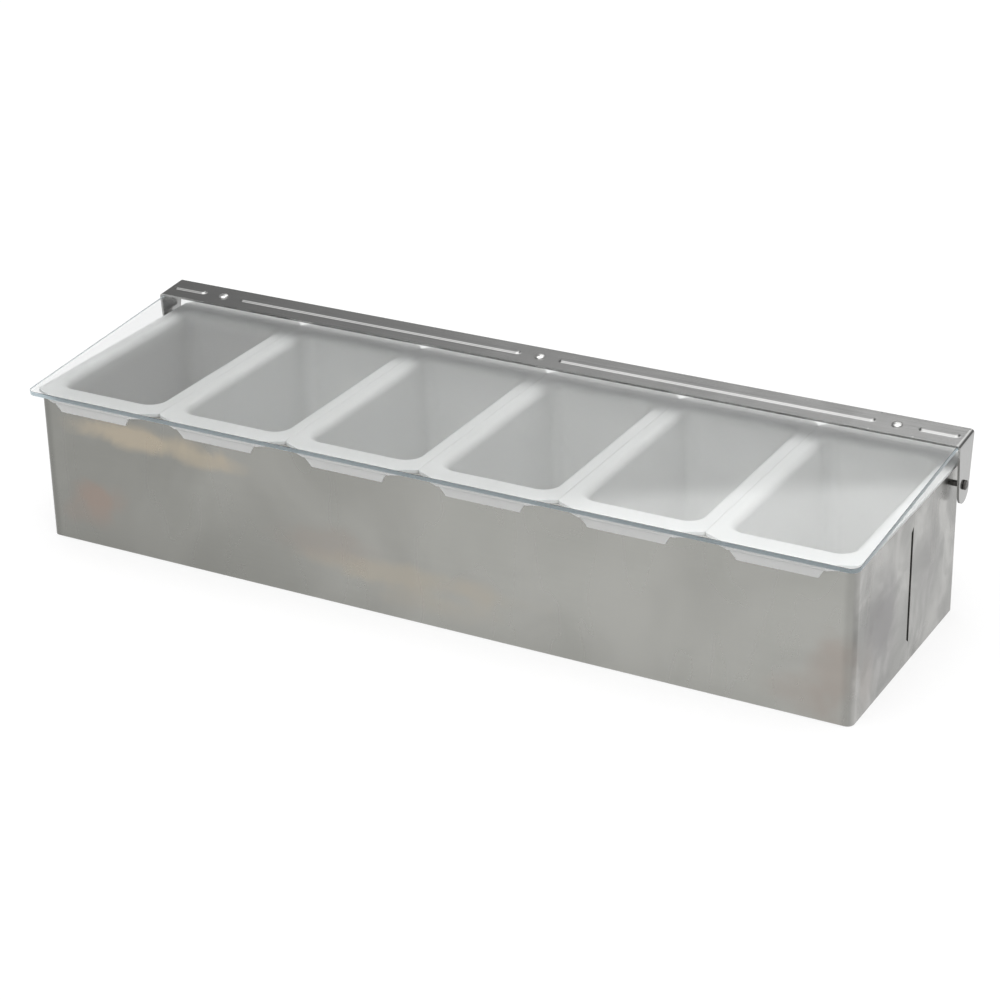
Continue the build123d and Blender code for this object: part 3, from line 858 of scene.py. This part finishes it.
def pinProfile():
    # From inside the wall outwards: rounded head, shank, rounded riveted head.
    reach = bar["length"] / 2 + pin["headGap"] - (box["length"] / 2 - box["sheet"])
    turn = np.linspace(0, np.pi / 2, 6)
    bend = pin["round"]
    innerR, innerH = pin["innerHead"] - bend, bend - pin["innerHeight"]
    outerR, outerH = pin["outerHead"] - bend, reach + pin["outerHeight"] - bend
    inner = [(innerR + bend * math.sin(t), innerH - bend * math.cos(t)) for t in turn]
    outer = [(outerR + bend * math.cos(t), outerH + bend * math.sin(t)) for t in turn]
    shank = [(pin["innerHead"], 0.0), (pin["radius"], 0.0), (pin["radius"], reach), (pin["outerHead"], reach)]
    return np.array(inner + shank + outer) * mm


for name, side in (("left", -1), ("right", 1)):
    wallInside = np.array([side * (box["length"] / 2 - box["sheet"]), lid["pivotY"], lid["pivotZ"]]) * mm
    part = turnedPart(pinProfile(), wallInside, np.array([side, 0.0, 0.0]), np.array([0.0, 1.0, 0.0]))
    addPiece(name + "_turned_pin", [part], pinMetal, "box", [name + "_pivot_pin"], 45)
print("rivets and pins made")

# Floor, light and camera
stage = {
    "floor": (0.30, 0.30, 0.30), "floorReach": 14.0, "floorLevel": -0.0002, "floorGlow": 0.69, "room": 0.30,
    # soft bright panels of the studio: direction, cosine where each starts and where it is full, strength
    "panels": [
        ((0.80, 0.15, 0.58), 0.70, 0.93, 0.15),
        ((0.30, -0.90, 0.35), 0.55, 0.97, 0.80),
        ((0.02, -0.12, 1.0), 0.66, 0.97, 2.3),
    ],
    # a low bright wall behind, which the hinge bar mirrors as a shine
    "shine": ((-0.217, 0.810, 0.545), 0.93, 1.0, 0.45),
    # a bright ceiling behind the object, with a sharp lower edge: sine of the edge's height, softness, strength
    "ceilingEdge": 0.545, "ceilingSoftness": 0.004, "ceiling": 1.1,
    # where the ceiling fades: sideways as x / y of the direction, with y at least leastY, and upwards as its sine
    "leftFade": (-0.74, -0.50), "rightFade": (0.25, 0.70), "upFade": (0.70, 0.90), "leastY": 0.02,
}


def makeFloor():
    material = bpy.data.materials.new("paleFloor")
    material.use_nodes = True
    tree = material.node_tree
    tree.nodes.clear()
    output = tree.nodes.new("ShaderNodeOutputMaterial")
    matte = tree.nodes.new("ShaderNodeBsdfDiffuse")
    matte.inputs["Color"].default_value = (*stage["floor"], 1)
    glow = tree.nodes.new("ShaderNodeEmission")
    rays = tree.nodes.new("ShaderNodeLightPath")
    seen = mathNode(tree, "ADD", rays.outputs["Is Camera Ray"], rays.outputs["Is Glossy Ray"])
    seen = mathNode(tree, "ADD", seen, rays.outputs["Is Transmission Ray"], True)
    tree.links.new(mathNode(tree, "MULTIPLY", seen, stage["floorGlow"]), glow.inputs["Strength"])
    both = tree.nodes.new("ShaderNodeAddShader")
    tree.links.new(matte.outputs[0], both.inputs[0])
    tree.links.new(glow.outputs[0], both.inputs[1])
    tree.links.new(both.outputs[0], output.inputs["Surface"])
    mesh = bpy.data.meshes.new("floor")
    reach, level = stage["floorReach"], stage["floorLevel"]
    corners = [(x * reach, y * reach, level) for x, y in ((-1, -1), (1, -1), (1, 1), (-1, 1))]
    mesh.from_pydata(corners, [], [(0, 1, 2, 3)])
    mesh.materials.append(material)
    floor = bpy.data.objects.new("floor", mesh)
    bpy.context.scene.collection.objects.link(floor)


def makeWorld():
    # A plain studio: an even room, soft bright panels at the side, in front and above, and a bright ceiling behind.
    world = bpy.data.worlds.new("studio")
    bpy.context.scene.world = world
    world.use_nodes = True
    tree = world.node_tree
    tree.nodes.clear()
    output = tree.nodes.new("ShaderNodeOutputWorld")
    background = tree.nodes.new("ShaderNodeBackground")
    background.inputs["Color"].default_value = (1, 1, 1, 1)
    way = tree.nodes.new("ShaderNodeTexCoord").outputs["Generated"]
    split = splitPlace(tree, way)
    edge, softness = stage["ceilingEdge"], stage["ceilingSoftness"]
    above = rangeNode(tree, split["Z"], edge - softness, edge + softness, 0, 1)
    aside = mathNode(tree, "DIVIDE", split["X"], mathNode(tree, "MAXIMUM", split["Y"], stage["leastY"]))
    behind = rangeNode(tree, aside, *stage["leftFade"], 0, 1)
    for value, fade in ((aside, stage["rightFade"]), (split["Z"], stage["upFade"])):
        behind = mathNode(tree, "MULTIPLY", behind, rangeNode(tree, value, *fade, 1, 0))
    ceiling = mathNode(tree, "MULTIPLY", mathNode(tree, "MULTIPLY", above, behind), stage["ceiling"])
    parts = []
    for direction, starts, full, power in stage["panels"] + [stage["shine"]]:
        toward = tree.nodes.new("ShaderNodeVectorMath")
        toward.operation = "DOT_PRODUCT"
        tree.links.new(way, toward.inputs[0])
        toward.inputs[1].default_value = Vector(direction).normalized()
        parts.append(rangeNode(tree, toward.outputs["Value"], starts, full, 0, power))
    rays = tree.nodes.new("ShaderNodeLightPath")
    # what stands behind shows in reflections and adds no light of its own
    mirrored = mathNode(tree, "MULTIPLY", mathNode(tree, "ADD", ceiling, parts.pop()), rays.outputs["Is Glossy Ray"])
    level = mathNode(tree, "ADD", mirrored, stage["room"])
    for part in parts:
        level = mathNode(tree, "ADD", level, part)
    # the camera sees plain white behind the object
    seen = rays.outputs["Is Camera Ray"]
    unseen = mathNode(tree, "SUBTRACT", 1.0, seen)
    strength = mathNode(tree, "ADD", mathNode(tree, "MULTIPLY", level, unseen), seen)
    tree.links.new(strength, background.inputs["Strength"])
    tree.links.new(background.outputs[0], output.inputs["Surface"])


def addLamp(name, place, target, size, power):
    lamp = bpy.data.lights.new(name, "AREA")
    lamp.shape = "DISK"
    lamp.size = size
    lamp.energy = power
    holder = bpy.data.objects.new(name, lamp)
    bpy.context.scene.collection.objects.link(holder)
    holder.location = place
    aim = Vector(target) - Vector(place)
    holder.rotation_euler = aim.to_track_quat("-Z", "Y").to_euler()


keyLamp = {"place": (1.3, 0.35, 1.1), "target": (0.05, 0, 0.05), "size": 0.9, "power": 0.9}
# camera: angles in degrees, and its focal length in shares of the sensor's width (mm)
view = {
    "place": (0.65757, -1.16602, 0.67810), "yaw": -29.11, "pitch": 25.42, "roll": -1.14,
    "sensor": 36, "focalShare": 2.7344, "nearest": 0.01,
}


def addCamera():
    yaw, pitch, roll = [math.radians(view[key]) for key in ("yaw", "pitch", "roll")]
    ahead = Vector((math.sin(yaw) * math.cos(pitch), math.cos(yaw) * math.cos(pitch), -math.sin(pitch)))
    right = Vector((math.cos(yaw), -math.sin(yaw), 0))
    up = right.cross(ahead)
    rolledRight = math.cos(roll) * right + math.sin(roll) * up
    rolledUp = -math.sin(roll) * right + math.cos(roll) * up
    camera = bpy.data.cameras.new("camera")
    camera.sensor_fit = "HORIZONTAL"
    camera.sensor_width = view["sensor"]
    camera.lens = view["sensor"] * view["focalShare"]
    camera.clip_start = view["nearest"]
    holder = bpy.data.objects.new("camera", camera)
    bpy.context.scene.collection.objects.link(holder)
    turn = Matrix((rolledRight, rolledUp, -ahead)).transposed().to_4x4()
    holder.matrix_world = Matrix.Translation(view["place"]) @ turn
    bpy.context.scene.camera = holder


makeFloor()
makeWorld()
addLamp("keyLamp", **keyLamp)
addCamera()
bpy.context.scene.view_settings.view_transform = "Standard"
print("stage made")
